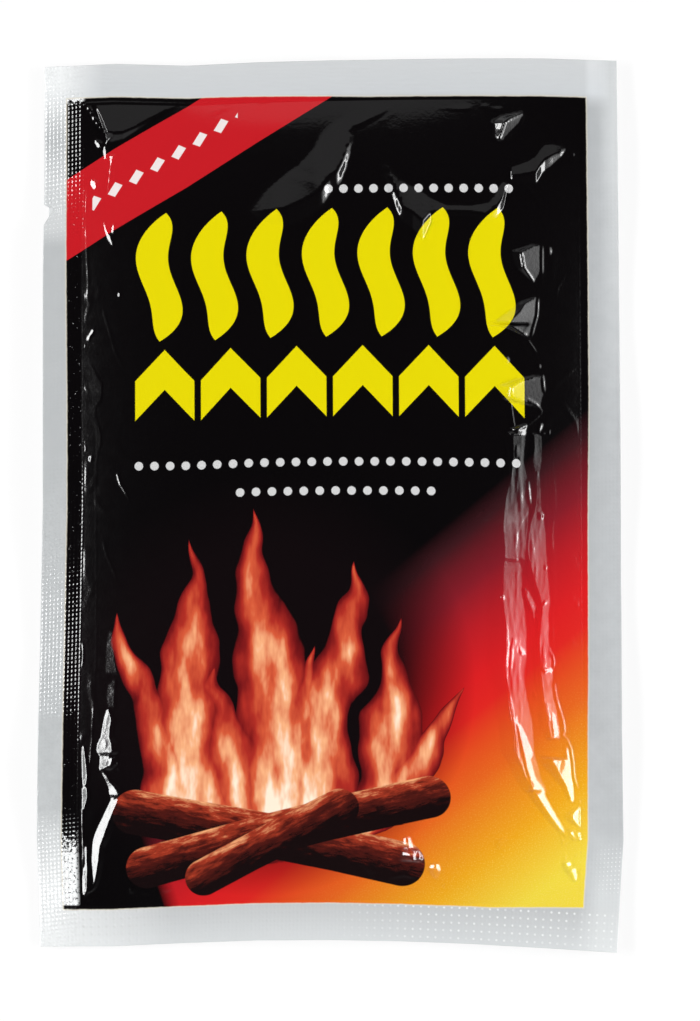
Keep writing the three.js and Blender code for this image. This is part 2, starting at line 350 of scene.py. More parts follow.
def make_sheet(name, columns, rows, height, placed=cut_place, turned=False, skirt=(), skirt_drop=0.0):
    """A sheet on a grid, of heights worked out for each crossing. Its skirt is a cut edge turned down."""
    x, y = np.meshgrid(columns, rows)
    place_x, place_y = placed(x, y)
    points = np.stack([place_x, place_y, height(x, y)], axis=-1).reshape(-1, 3)
    flat_places = np.stack([x, y], axis=-1).reshape(-1, 2)
    index = np.arange(x.size).reshape(x.shape)
    faces = np.stack([index[:-1, :-1], index[:-1, 1:], index[1:, 1:], index[1:, :-1]], axis=-1).reshape(-1, 4)
    edges = {"left": index[::-1, 0], "right": index[:, -1], "bottom": index[0, :], "top": index[-1, ::-1]}
    for side in skirt:
        edge = edges[side]
        lower = points[edge] - (0, 0, skirt_drop)
        below = np.arange(len(points), len(points) + len(edge))
        points = np.concatenate([points, lower])
        flat_places = np.concatenate([flat_places, flat_places[edge]])
        faces = np.concatenate([faces, np.stack([edge[:-1], below[:-1], below[1:], edge[1:]], axis=-1)])
    if turned:
        faces = faces[:, ::-1]
    mesh = bpy.data.meshes.new(name)
    mesh.vertices.add(len(points))
    mesh.vertices.foreach_set("co", (points * MM).ravel())
    mesh.loops.add(faces.size)
    mesh.loops.foreach_set("vertex_index", faces.ravel())
    mesh.polygons.add(len(faces))
    mesh.polygons.foreach_set("loop_start", np.arange(0, faces.size, 4))
    mesh.polygons.foreach_set("loop_total", np.full(len(faces), 4))
    mesh.update(calc_edges=True)
    mesh.polygons.foreach_set("use_smooth", np.ones(len(faces), bool))
    uv_map = mesh.uv_layers.new(name="flat_place")
    uv_map.data.foreach_set("uv", flat_places[faces.ravel()].ravel())
    sheet = bpy.data.objects.new(name, mesh)
    bpy.context.scene.collection.objects.link(sheet)
    return sheet


def grid(low, high, spacing):
    """Even places from low to high, about a spacing apart."""
    return np.linspace(low, high, max(2, round((high - low) / spacing)) + 1)


side_dot_pitch = (0.52, 0.59)
bottom_dot_pitch = (1.04, 1.04)
top_line_pitch = 0.57
side_dot_height = 0.056
bottom_dot_height = 0.09
fine_dot_height = 0.02
top_line_height = 0.014
emboss_margin = 0.3
inner_reach = 0.5
row_lean = 0.12
side_seal_inner = hollow_half_width - inner_reach
# How hard the jaws gripped, at rows of the photograph down each side and at columns along the bottom
left_grip = [(59, 1.6), (118, 1.4), (178, 1.4), (226, 1.1), (240, 0.15), (450, 0.15), (520, 1.5), (600, 1.5),
             (640, 1.7), (690, 1.7), (712, 1.5), (722, 0.9), (806, 0.85), (818, 1.4), (880, 2.0), (951, 2.0)]
right_grip = [(59, 0.3), (836, 0.3), (850, 0.9), (882, 0.9), (892, 0.6), (951, 0.6)]
bottom_grip = [(75, 1.2), (120, 1.0), (160, 0.3), (350, 0.3), (420, 0.6), (600, 0.7)]
# Some dots stand a little lower than others
dot_table_size = 400
dot_strengths = np.random.default_rng(3).uniform(0.7, 1.1, (dot_table_size, dot_table_size))


def grip_at(place, to_place, grips):
    """The jaws' grip at places on the wrapper, where it is listed at pixels of the photograph."""
    listed = sorted((to_place(pixel), grip) for pixel, grip in grips)
    return np.interp(place, *zip(*listed))


def pressed(distance_in, width):
    """How firmly the jaws press, from 0 at the seal's rims to 1 inside it."""
    return np.clip(distance_in / emboss_margin, 0, 1) * np.clip((width - distance_in) / emboss_margin, 0, 1)


def dots(x, y, pitch, sharpness):
    """Raised dots in square rows, from 0 between them to 1 or so on top."""
    column, row = x / pitch[0], y / pitch[1]
    nearest = tuple(np.rint(place).astype(int) % dot_table_size for place in (column, row))
    round_top = (1 + np.cos(2 * np.pi * column)) * (1 + np.cos(2 * np.pi * row)) / 4
    return dot_strengths[nearest] * round_top ** sharpness


def side_emboss(x, y):
    grip = np.where(x < 0, grip_at(y, up, left_grip), grip_at(y, up, right_grip))
    firmness = pressed(np.abs(x) - side_seal_inner, half_width - side_seal_inner)
    return side_dot_height * grip * dots(x, y - row_lean * x, side_dot_pitch, sharpness=1) * firmness


def end_emboss(x, y):
    firmness = pressed(np.abs(y) - hollow_half_length, end_seal_width)
    lines = top_line_height * np.cos(2 * np.pi * y / top_line_pitch)
    raised = bottom_dot_height * grip_at(x, across, bottom_grip) * dots(x, y, bottom_dot_pitch, sharpness=4)
    raised += fine_dot_height * dots(x, y, side_dot_pitch, sharpness=1)
    return firmness * np.where(y > 0, lines, raised)


def emboss(x, y):
    return np.where(np.abs(x) >= side_seal_inner, side_emboss(x, y), end_emboss(x, y))


def seal_film_height(x, y):
    """The front web's outer surface on the seals."""
    return front_height(x, y) + film_top + emboss(x, y)


# The print
# Inks on the inner side of the outer film: a black ground that turns to red and gold at the lower right, a
# red band across a corner, and plain motifs: waves of warmth, arrow heads, dots and a camp fire.
print_left = 3.3 - half_width
print_right = half_width - 4.5
print_top = half_length - 4.5
print_bottom = 5.2 - half_length

# The print isn't quite square to the cuts. This is how far its edges lie out of their true lines, in
# millimetres, and the pixels of the photograph between which each gets there.
left_edge_out, left_edge_rows = 0.25, (400, 200)
right_edge_out, right_edge_rows = 0.25, (520, 400)
right_foot_in, right_foot_rows = 0.37, (680, 890)
bottom_edge_out = 0.13
bottom_end_in, bottom_end_columns = 0.7, (490, 585)
top_end_in, top_end_columns = 0.55, (210, 370)

# Patches, each as the columns and then the rows of the photograph between which it fades in
notch_patch = ((70, 62), (140, 180), (246, 228))
low_left_patch = ((90, 80), (806, 835))
low_right_patch = ((590, 606), (838, 850), (892, 884))
low_left_corner = ((175, 60), (806, 885))
high_left_corner = ((100, 58), (135, 85))
coarse_dots_patch = ((330, 430),)
# Where the seal's dots and specks over the print's left corners are painted white, as glints
corner_glint_patch = ((83, 79), (905, 903))
glinting_dot_rows = (812, 834)
glint_low_rows, glint_high_rows = (824, 854), (107, 98)
left_white_rows = (700, 540)
top_white_columns = (613, 591)
# How high on a dot its painted highlight begins and is whole, where its top is 4
dot_tops = (2.7, 3.8)


def ink(red, green, blue):
    """A colour as a screen shows it, from 0 to 255, in the linear values that the nodes take."""
    shares = (part / 255 for part in (red, green, blue))
    linear = [share / 12.92 if share <= 0.04045 else ((share + 0.055) / 1.055) ** 2.4 for share in shares]
    return (*linear, 1)


black_ink = ink(6, 4, 5)
yellow_ink = ink(228, 214, 5)
milk_white = ink(238, 241, 241)
# Patches of the clear margin: a patch's columns and rows, how strong it is, and its colour. The first is
# painted shadow beside the print's right edge, the other two are paler
margin_shadow_and_pale_patches = [
    ((608.1, 586.1), (820, 450), 0.6, ink(168, 171, 173)),
    ((575, 600), (820, 890), 0.45, milk_white),
    ((600, 615), (420, 150), 0.4, milk_white),
]


def across_step(x, columns):
    return x.step(*map(across, columns))


def up_step(y, rows):
    return y.step(*map(up, rows))


def patch(x, y, columns, *row_pairs):
    """1 in a patch of the photograph and 0 outside it."""
    share = across_step(x, columns)
    for rows in row_pairs:
        share *= up_step(y, rows)
    return share


def raised_dots(x, y, pitch):
    """1 on top of the dots that the jaws raise, and 0 between them."""
    column = (x * (2 * math.pi / pitch[0])).maths("COSINE")
    row = (y * (2 * math.pi / pitch[1])).maths("COSINE")
    return ((column + 1) * (row + 1)).step(*dot_tops)


def fine_dots(x, y):
    return raised_dots(x, y - x * row_lean, side_dot_pitch)


def painted_dot_and_corner_highlights(recipe, x, y, place):
    """Painted highlights on the milky film: white on the raised dots here and there, and over the left
    corners, with the film a little paler round the notch.
    """
    dot_highlight, corner_highlight, notch_white = 0.85, 0.8, 0.3
    uneven = (recipe.noise(place, 1.1).step(0.35, 0.65) + 0.25).at_most(1)
    along_bottom = y.step(0.2 - hollow_half_length, -hollow_half_length)
    coarse = raised_dots(x, y, bottom_dot_pitch) * uneven * patch(x, y, *coarse_dots_patch) * along_bottom
    by_notch = patch(x, y, *notch_patch)
    low_sides = patch(x, y, *low_left_patch).at_least(patch(x, y, *low_right_patch))
    fine = fine_dots(x, y) * low_sides.at_least(by_notch)
    corners = patch(x, y, *low_left_corner).at_least(patch(x, y, *high_left_corner)) * corner_highlight
    return (coarse.at_least(fine) * dot_highlight).at_least(corners).at_least(by_notch * notch_white)


def painted_corner_glints(recipe, x, y, place):
    """Painted glints over the print's left corners on the seal: white on the raised dots, then between dark
    specks.
    """
    glint_white, glint_spread = 0.95, 0.29
    dotted = fine_dots(x, y) * up_step(y, glinting_dot_rows)
    glinting_rows = up_step(y, glint_low_rows).at_least(up_step(y, glint_high_rows))
    speckled = (recipe.noise(place, 2.2, detail=3.0, roughness=0.7) + glinting_rows * glint_spread).step(0.67, 0.75)
    return dotted.at_least(speckled) * patch(x, y, *corner_glint_patch) * glint_white


def print_reach(recipe, x, y, place):
    """How far each point lies inside the print's edge, which wavers a little."""
    waver_width = 0.12
    from_left = x - print_left + up_step(y, left_edge_rows) * left_edge_out
    from_right = up_step(y, right_edge_rows) * right_edge_out - up_step(y, right_foot_rows) * right_foot_in
    from_right += print_right - x
    from_bottom = y - print_bottom + bottom_edge_out - across_step(x, bottom_end_columns) * bottom_end_in
    from_top = print_top - y - across_step(x, top_end_columns) * top_end_in
    waver = (recipe.noise(place, 0.9, detail=3.0) - 0.5) * waver_width
    return from_left.at_most(from_right).at_most(from_bottom).at_most(from_top) + waver


def margin_colour(recipe, x, y, place):
    """The milky film round the print: cloudy and whiter along the top, with painted shadow beside the print's
    right edge and painted highlights on dots here and there and at the left corners.
    """
    left_white = 0.3
    cloud = recipe.noise(place, 0.35, detail=4.0, roughness=0.6)
    left = recipe.ramp(cloud, [(0.3, ink(187, 190, 191)), (0.7, ink(199, 202, 203))])
    left = recipe.blend(up_step(y, left_white_rows) * left_white, left, milk_white)
    right = recipe.ramp(cloud, [(0.3, ink(186, 189, 191)), (0.7, ink(194, 197, 199))])
    colour = recipe.blend(x.step(-1, 1), left, right)
    bottom = recipe.ramp(y.step(-hollow_half_length, -half_length), [
        (0.0, ink(194, 196, 197)),
        (1.0, ink(216, 219, 220)),
    ])
    colour = recipe.blend(y.step(1 - hollow_half_length, -1 - hollow_half_length), colour, bottom)
    top = recipe.ramp(y.step(hollow_half_length - 0.6, half_length), [
        (0.0, ink(221, 224, 226)),
        (0.3, ink(244, 248, 251)),
        (1.0, ink(252, 254, 255)),
    ])
    near_top = y.step(hollow_half_length - 1, hollow_half_length + 1)
    colour = recipe.blend(near_top * across_step(x, top_white_columns), colour, top)
    # Painted shadow of the raised panel beside the print's right edge, and two paler patches
    for columns, rows, strength, shade in margin_shadow_and_pale_patches:
        colour = recipe.blend(patch(x, y, columns, rows) * strength, colour, shade)
    # Painted highlights, near white, on the margin's dots and at its left corners
    return recipe.blend(painted_dot_and_corner_highlights(recipe, x, y, place), colour, ink(244, 246, 246))


# The ground: where it starts to turn from black, how the turn leans, and the length over which it is whole
glow_from_row = 410
glow_lean = 0.84
glow_length = 60
# The black at the lower left: its edge's columns at one row, and its lean
dark_columns, dark_row = (160, 177), 890
dark_lean = 0.3


def ground_colour(recipe, x, y, place):
    """Black that turns to red, orange and a grainy gold towards the lower right."""
    grain_strength = 0.5
    warmth = (up(glow_from_row) - y + (x - print_right) * glow_lean) / glow_length
    glow = recipe.ramp(warmth, [
        (0.0, black_ink),
        (0.06, ink(58, 22, 27)),
        (0.18, ink(130, 27, 38)),
        (0.28, ink(180, 28, 36)),
        (0.4, ink(214, 30, 33)),
        (0.48, ink(219, 37, 32)),
        (0.64, ink(226, 99, 28)),
        (0.83, ink(236, 166, 22)),
        (1.0, ink(239, 214, 64)),
    ])
    dark_edge = [across(column) + dark_lean * up(dark_row) for column in dark_columns]
    colour = recipe.blend((x + y * dark_lean).step(*dark_edge), black_ink, glow)
    grain = recipe.noise(place, 5.0, roughness=0.7).step(0.5, 0.8) * warmth.step(0.55, 1.0)
    return recipe.blend(grain * grain_strength, colour, ink(250, 226, 140))


# The band: how it leans, and the heights of its edges and of its diamonds' middles at the wrapper's middle
band_lean = 0.595
band_low, band_high = 54.87, 66.05
diamond_height = 60.4
diamond_pitch = 2.9
diamond_reach = 1.05
diamond_columns = (90, 236.7)
# The motifs' first and last columns and rows in the photograph, and their numbers
wave_columns, wave_rows, wave_count = (131, 519), (343, 214), 7
wave_turns = 1.15
wave_sway = 1.05
wave_half_width = 2.25
arrow_columns, arrow_rows, arrow_count = (131, 526), (436, 351), 6
arrow_lean = 1.05
arrow_stroke = 5.4
dot_radius = 0.62
# Each row of dots: its first and last columns, its row, and its number of dots
dot_rows = [(320, 516, 195, 13), (130, 522, 467, 25), (231, 437, 496, 13)]
row_edge = 0.05


def band_diamonds(x, height):
    """Small pale diamonds in a row along the middle of the red band."""
    row_start = 60
    off_across = abs(((x + row_start) / diamond_pitch).maths("FRACT") - 0.5) * diamond_pitch
    inside = (off_across + abs(height - diamond_height)).step(diamond_reach, diamond_reach - 0.1)
    return inside * x.within(*map(across, diamond_columns), soft=0.1)


def warm_waves(x, y):
    """Bold upright waves, as of warm air, with tapered ends."""
    (left, right), (bottom, top) = map(across, wave_columns), map(up, wave_rows)
    pitch = (right - left) / wave_count
    cell = ((x - left) / pitch).maths("FRACT") - 0.5
    share = (y - bottom) / (top - bottom)
    sway = (share * (2 * math.pi * wave_turns)).maths("SINE") * wave_sway
    from_middle = abs(share * 2 - 1)
    half = (1 - from_middle.at_most(1).maths("POWER", 5)) * wave_half_width
    inside = (half - abs(cell * pitch - sway)).step(0, 0.09)
    return inside * x.within(left, right, soft=0.01) * from_middle.step(1, 0.995)


def arrow_heads(x, y):
    """Bold arrow heads that point up, in a row."""
    (left, right), (bottom, top) = map(across, arrow_columns), map(up, arrow_rows)
    pitch = (right - left) / arrow_count
    off_middle = abs(((x - left) / pitch).maths("FRACT") - 0.5)
    height = y - top + off_middle * (pitch * arrow_lean)
    inside = height.within(-arrow_stroke - 0.08, 0.02, soft=0.1) * off_middle.step(0.455, 0.445)
    return inside * x.within(left, right, soft=0.01) * y.step(bottom, bottom + row_edge)


def rows_of_dots(x, y):
    """Three rows of small dots: one over the waves and two under the arrow heads."""
    shown = 0
    for first_column, last_column, row, count in dot_rows:
        left, right = across(first_column), across(last_column)
        pitch = (right - left) / count
        off_x = (((x - left) / pitch).maths("FRACT") - 0.5) * pitch
        off_y = y - up(row)
        dot = (off_x * off_x + off_y * off_y).maths("SQRT").step(dot_radius, dot_radius - 0.08)
        shown = dot * x.within(left, right, soft=row_edge) + shown
    return shown


fire_column, fire_row, fire_radius = 262, 690, 27.5
# Each tongue of flame: its foot and tip in pixels of the photograph, its half width and how far it sways
tongues = [
    (176, 836, 128, 612, 4.6, 1.2),
    (214, 850, 178, 540, 6.2, -1.6),
    (268, 856, 262, 512, 7.6, 1.9),
    (322, 850, 342, 566, 6.4, -1.7),
    (362, 840, 412, 622, 5.4, 1.3),
    (238, 852, 222, 668, 5.0, 1.1),
    (392, 824, 452, 690, 3.6, -0.9),
    (300, 852, 302, 650, 5.4, -1.0),
]
tongue_turn = 5.2
tongue_fullness = 1.45
swirl_width = 5.5
flicker_strength = 1.1
# Each log: its two ends in pixels of the photograph, and its radius
logs = [(138, 812, 402, 868, 3.1), (150, 868, 428, 800, 2.9), (206, 880, 340, 812, 2.6)]
bark_light = 0.28
bark_contrast = 1.1


def fire_heat(recipe, x, y, place):
    """How hot the flames are at each point, from 0 outside them to 1 or so at their hearts."""
    swirl = recipe.node("ShaderNodeTexNoise", {"Vector": place, "Scale": 0.13, "Detail": 1.0})
    swirl_across = recipe.amount("ShaderNodeSeparateXYZ", "X", {0: swirl.outputs["Color"]})
    bent_x = x + (swirl_across - 0.5) * swirl_width
    heat = 0
    for foot_x, foot_y, tip_x, tip_y, half, sway in tongues:
        foot, low, high = across(foot_x), up(foot_y), up(tip_y)
        share = (y - low) / (high - low)
        held = share.at_least(0).at_most(1)
        spine = held * (across(tip_x) - foot) + (held * tongue_turn).maths("SINE") * sway + foot
        taper = (1 - held) * (held.maths("SQRT") + 0.25)
        off = abs(bent_x - spine) / (taper * (half * tongue_fullness) + 0.01)
        tongue = (1 - off * off) * (1 - held * 0.5)
        tongue = tongue * share.step(-0.04, 0.02) * share.step(1.0, 0.98)
        heat = tongue.at_least(heat)
    streaks = recipe.noise(recipe.stretched(place, (1.0, 0.3, 1.0)), 0.42, detail=3.0)
    flicker = (streaks - 0.5) * flicker_strength
    return heat + flicker * heat.step(0.0, 0.3)


def camp_fire(recipe, x, y, place, ground):
    """Tongues of flame over crossed logs, on a dark round."""
    off_x = (x - across(fire_column)) / fire_radius
    off_y = (y - up(fire_row)) / fire_radius
    colour = recipe.blend((off_x * off_x + off_y * off_y).step(1.1, 0.45), ground, ink(14, 7, 9))
    heat = fire_heat(recipe, x, y, place)
    flame = recipe.ramp(heat, [
        (0.02, ink(60, 10, 14)),
        (0.22, ink(122, 22, 24)),
        (0.46, ink(176, 46, 36)),
        (0.66, ink(214, 92, 58)),
        (0.84, ink(246, 176, 128)),
        (0.97, ink(255, 238, 214)),
    ])
    colour = recipe.blend(heat.step(0.03, 0.09), colour, flame)
    for left_x, left_y, right_x, right_y, radius in logs:
        start_x, start_y = across(left_x), up(left_y)
        run_x, run_y = across(right_x) - start_x, up(right_y) - start_y
        length = math.hypot(run_x, run_y)
        unit_x, unit_y = run_x / length, run_y / length
        reached = (x - start_x) * unit_x + (y - start_y) * unit_y
        side = (y - start_y) * unit_x - (x - start_x) * unit_y
        over = (abs(reached - length / 2) - length / 2).at_least(0)
        distance = (side * side + over * over).maths("SQRT")
        bark_place = recipe.node("ShaderNodeCombineXYZ", {0: reached * 0.25, 1: side, 2: radius}).outputs[0]
        bark = recipe.noise(bark_place, 1.3, detail=4.0, roughness=0.65)
        lit = side / (2 * radius) + bark_light + (bark - 0.5) * bark_contrast
        wood = recipe.ramp(lit, [
            (0.1, ink(20, 9, 10)),
            (0.42, ink(84, 26, 20)),
            (0.66, ink(168, 58, 36)),
            (0.9, ink(240, 170, 118)),
        ])
        colour = recipe.blend(distance.step(radius, radius - 0.12), colour, wood)
    return colour


def print_colour(recipe, x, y, place):
    """The front's colours, and how far each point is printed."""
    fringe_strength = 0.6
    colour = camp_fire(recipe, x, y, place, ground_colour(recipe, x, y, place))
    band_height = y - x * band_lean
    overprints = [
        (band_height.within(band_low, band_high, soft=0.1), ink(196, 28, 36)),
        (band_diamonds(x, band_height), ink(238, 226, 224)),
        (warm_waves(x, y), yellow_ink),
        (arrow_heads(x, y), yellow_ink),
        (rows_of_dots(x, y), ink(208, 208, 208)),
        # Painted glints, in white, on the seal's dots and specks at the print's left corners
        (painted_corner_glints(recipe, x, y, place), ink(250, 252, 252)),
    ]
    for share, shade in overprints:
        colour = recipe.blend(share, colour, shade)
    reach = print_reach(recipe, x, y, place)
    printed = reach.step(-0.03, 0.05)
    colour = recipe.blend(printed, margin_colour(recipe, x, y, place), colour)
    fringe = reach.step(-0.14, -0.06) * reach.step(0.14, 0.04) * fringe_strength
    return recipe.blend(fringe, colour, ink(226, 218, 200)), printed


def finish_surface(recipe, look, relief, strength, depth):
    """Ends a material: the look of its surface, and fine bumps that follow a relief to a depth in metres."""
    bump = recipe.node("ShaderNodeBump", {"Height": relief, "Strength": strength, "Distance": depth})
    surface = recipe.node("ShaderNodeBsdfPrincipled", {**look, "Normal": bump.outputs["Normal"]})
    recipe.node("ShaderNodeOutputMaterial", {"Surface": surface.outputs[0]})


# Glossy film over ink: small scuffs break its gloss, and the ink's grain shows in flat colours
ink_grain = 0.012
film_roughness = 0.05
scuff_roughness = 0.1
milky_roughness = 0.1
crinkle_depth = 0.000012
grain_grey = (0.5, 0.5, 0.5, 1)
front_finish = bpy.data.materials.new("front_film_and_print")
recipe = Recipe(front_finish)
place = recipe.node("ShaderNodeUVMap", uv_map="flat_place").outputs["UV"]
x, y = (recipe.amount("ShaderNodeSeparateXYZ", axis, {0: place}) for axis in "XY")
colour, printed = print_colour(recipe, x, y, place)
grain = recipe.noise(place, 9.0, detail=3.0, roughness=0.7).step(0.5, 0.8) * ink_grain
colour = recipe.blend(grain, colour, grain_grey)
scuffs = recipe.noise(place, 0.6, detail=5.0, roughness=0.65)
gloss_loss = scuffs * scuff_roughness + film_roughness + (1 - printed) * milky_roughness
crinkle = recipe.noise(place, 2.2, roughness=0.6)
front_look = {"Base Color": colour, "Roughness": gloss_loss, "IOR": 1.5}
finish_surface(recipe, front_look, crinkle, strength=1.0, depth=crinkle_depth)

# How far apart each seal's columns and rows are
side_spacings = (0.104, 0.118)
bottom_spacings = (0.104, 0.104)
top_spacings = (0.26, 0.14)
side_columns = grid(side_seal_inner, half_width, side_spacings[0])
side_rows = grid(-half_length, half_length, side_spacings[1])
bottom_columns = grid(-side_seal_inner, side_seal_inner, bottom_spacings[0])
bottom_rows = grid(-half_length, -hollow_half_length, bottom_spacings[1])
top_columns = grid(-side_seal_inner, side_seal_inner, top_spacings[0])
top_rows = grid(hollow_half_length, half_length, top_spacings[1])
# Each seal: its columns and rows, and its cut edges
seals = {
    "seal_left": (-side_columns[::-1], side_rows, ("left", "bottom", "top")),
    "seal_right": (side_columns, side_rows, ("right", "bottom", "top")),
    "seal_bottom": (bottom_columns, bottom_rows, ("bottom",)),
    "seal_top": (top_columns, top_rows, ("top",)),
}
skirt_clearance = 0.005
front_skirt = film_top - skirt_clearance


def dress(sheet, finish, body, node):
    """Gives a sheet its finish and the body that it rides on, and hides the solid that it stands for."""
    sheet.data.materials.append(finish)
    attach(sheet, body)
    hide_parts(node)


for name, (columns, rows, cut_edges) in seals.items():
    sheet = make_sheet("front_" + name, columns, rows, seal_film_height, skirt=cut_edges,
                       skirt_drop=front_skirt)
    dress(sheet, front_finish, "wrapper", "wrapper_front_film")


# The front web's panel
# Inside the seals the same film lies loose over the pad. Handling and the pad's stiff edge have creased
# it: two long folds on the right, one on the left, and small pimples, facets and scratches all round.

# The panel's grid is fine where the film is creased, and changes at these columns of the photograph
grid_change_columns = (135, 402, 448, 496)
column_spacings = (0.12, 0.4, 0.12, 0.4, 0.12)
row_spacing = 0.2
grid_changes = [-side_seal_inner, *map(across, grid_change_columns), side_seal_inner]
stretches = zip(grid_changes, grid_changes[1:], column_spacings)
panel_columns = np.concatenate([*(grid(*stretch)[:-1] for stretch in stretches), [side_seal_inner]])
panel_rows = grid(-hollow_half_length, hollow_half_length, row_spacing)
panel_x, panel_y = np.meshgrid(panel_columns, panel_rows)
plain_height = front_height(panel_x, panel_y)
crumple = np.zeros(panel_x.shape)


def on_panel(px, py):
    """The place on the true rectangle of a point of the photograph."""
    place_x, place_y = across(px), up(py)
    shifted_x, shifted_y = cut_place(place_x, place_y)
    return 2 * place_x - shifted_x, 2 * place_y - shifted_y


def part_of_panel(low, high):
    """The part of the panel's grid between two corners, and its points."""
    first_row, last_row = np.searchsorted(panel_rows, (low[1], high[1]))
    first_column, last_column = np.searchsorted(panel_columns, (low[0], high[0]))
    part = (slice(first_row, last_row), slice(first_column, last_column))
    return part, panel_x[part], panel_y[part]


def follow(route, x, y):
    """Each point's distance from a route, negative on its left as it runs down, and how far along it is."""
    nearest = np.full(x.shape, np.inf)
    side, reached = np.zeros(x.shape), np.zeros(x.shape)
    start = 0
    for (ax, ay), (bx, by) in zip(route[:-1], route[1:]):
        run_x, run_y = bx - ax, by - ay
        length = math.hypot(run_x, run_y)
        share = np.clip(((x - ax) * run_x + (y - ay) * run_y) / length**2, 0, 1)
        off_x, off_y = x - ax - share * run_x, y - ay - share * run_y
        distance = np.hypot(off_x, off_y)
        closer = distance < nearest
        nearest = np.where(closer, distance, nearest)
        side = np.where(closer, np.sign(run_x * off_y - run_y * off_x), side)
        reached = np.where(closer, start + share * length, reached)
        start += length
    return nearest * side, reached, start


def crease(pixels, rise, width, fade=0.8):
    """Raises a narrow ridge along a route of photograph pixels."""
    route = [on_panel(px, py) for px, py in pixels]
    xs, ys = zip(*route)
    part, x, y = part_of_panel((min(xs) - width, min(ys) - width), (max(xs) + width, max(ys) + width))
    if x.size:
        distance, reached, length = follow(route, x, y)
        ends = np.clip(reached / fade, 0, 1) * np.clip((length - reached) / fade, 0, 1)
        crumple[part] += rise * np.clip(1 - np.abs(distance) / width, 0, 1) * np.sqrt(ends)


def pimple(px, py, half_across_pixels, half_along_pixels):
    """Raises a small round pimple, of the same steepness whatever its size."""
    steepness = 0.42
    half_across, half_along = half_across_pixels * photo_scale, half_along_pixels * photo_scale
    x0, y0 = on_panel(px, py)
    part, x, y = part_of_panel((x0 - half_across, y0 - half_along), (x0 + half_across, y0 + half_along))
    if x.size:
        squared = ((x - x0) / half_across) ** 2 + ((y - y0) / half_along) ** 2
        # A dome of this profile is at its steepest 1.54 times as steep as it is high and wide
        rise = steepness * min(half_across, half_along) / 1.54
        crumple[part] += rise * np.clip(1 - squared, 0, 1) ** 2


def facet(degrees, stations, back_slope=0.36, upright=True):
    """Tilts the film between two edges, so that it faces right by so many degrees, or left where less than 0.

    Each station is a pixel row of the photograph and the facet's left and right ends on it. Where it isn't
    upright, it faces up or down the print, and a station is a column with the facet's upper and lower ends.
    Behind the facet's high edge the film falls back with the slope given.
    """
    lines, firsts, lasts = (np.array(values, float) for values in zip(*stations))
    if upright:
        (low, first_line), (high, last_line) = on_panel(firsts, lines), on_panel(lasts, lines)
        grid_lines, places = panel_rows, panel_columns
        height, relief = plain_height + crumple, crumple
    else:
        (last_line, high), (first_line, low) = on_panel(lines, firsts), on_panel(lines, lasts)
        grid_lines, places = panel_columns, panel_rows
        height, relief = (plain_height + crumple).T, crumple.T
    along = (first_line + last_line) / 2
    order = np.argsort(along)
    along, low, high = along[order], low[order], high[order]
    turns = np.broadcast_to(degrees, order.shape)[order]
    part = slice(*np.searchsorted(grid_lines, (along[0], along[-1])))
    line = grid_lines[part]
    if len(line) == 0:
        return
    faces = 1 if turns.mean() > 0 else -1
    foot = high if faces > 0 else low
    lean = np.interp(line, along, np.gradient(foot, along))[:, None]
    steep = np.tan(np.radians(np.interp(line, along, np.abs(turns))))[:, None]
    low, high = np.interp(line, along, low)[:, None], np.interp(line, along, high)[:, None]
    own_across = np.gradient(height[part], places, axis=1)
    own_along = np.gradient(height, grid_lines, axis=0)[part]
    # The fall across that gives the whole slope, with the one along the facet that its leaning foot brings
    facing = faces * (own_across - own_along * lean)
    left_over = (1 + lean**2) * (own_across**2 + own_along**2 - steep**2)
    fall = (facing + np.sqrt(np.maximum(0, facing**2 - left_over))) / (1 + lean**2)
    cell = np.gradient(places)
    cover = np.clip((places - low) / cell + 0.5, 0, 1) * np.clip((high - places) / cell + 0.5, 0, 1)
    climb = np.cumsum(-faces * fall * cover * cell, axis=1)
    whole = climb[:, -1:]
    back = np.maximum(np.abs(whole) / back_slope, 0.01)
    if faces > 0:
        climb -= whole * np.clip((places - low) / back + 1, 0, 1)
    else:
        climb -= whole * np.clip((places - high) / back, 0, 1)
    relief[part] += climb


# The two long folds on the right: the stations of each in pixels of the photograph, and the degrees that
# it faces right at each of them
inner_fold = [
    (432, 512, 525), (440, 511.5, 525.5), (449, 512, 524.3), (461, 512, 523.6), (477, 510, 527),
    (489, 506.5, 528.6), (500, 504.3, 529), (513, 502.9, 528.6), (523, 502, 528.4), (534, 502.4, 527.4),
    (549, 503.3, 526.4), (559, 503.4, 525.4), (566, 502.4, 524), (577, 502, 522), (597, 501.4, 523),
    (613, 502.9, 525.7), (627, 505, 526.4), (640, 504.6, 526), (654, 504.3, 526.4), (666, 503.6, 526),
    (676, 504.6, 525), (690, 507.6, 525.7), (704, 509.6, 528.6), (720, 512.3, 532), (740, 515, 533.6),
    (751, 515, 534), (764, 520.7, 538), (776, 524.3, 541), (790, 531, 548),
]
inner_fold_degrees = [
    22.3, 22.4, 22.6, 22.2, 22.3, 22.6, 22.9, 23.2, 23.6, 23.8, 24, 23.6, 23.4, 23.4, 23.8, 24.2, 24.8,
    26, 26.4, 24.6, 24.2, 24.6, 25.4, 26, 26, 26, 25, 24, 22,
]
outer_fold = [
    (435, 532.5, 541), (448, 533, 541.4), (461, 531, 541.4), (474, 534, 539), (490, 535, 540.5),
    (505, 534.5, 540.5), (513, 532.5, 542), (523, 529.5, 544), (534, 527.5, 545.7), (549, 526.5, 546),
    (559, 527.5, 546.4), (567, 529.5, 547), (577, 532.5, 548), (589, 536, 549), (597, 539, 549.6),
    (606, 541, 549.3), (613, 541, 549), (620, 539.5, 549), (640, 538, 548.6), (654, 538.4, 551.4),
    (669, 539.3, 552.4), (681, 540.6, 552.9), (697, 542.6, 554), (711, 544.3, 557), (729, 548, 559.4),
    (738, 550, 560),
]
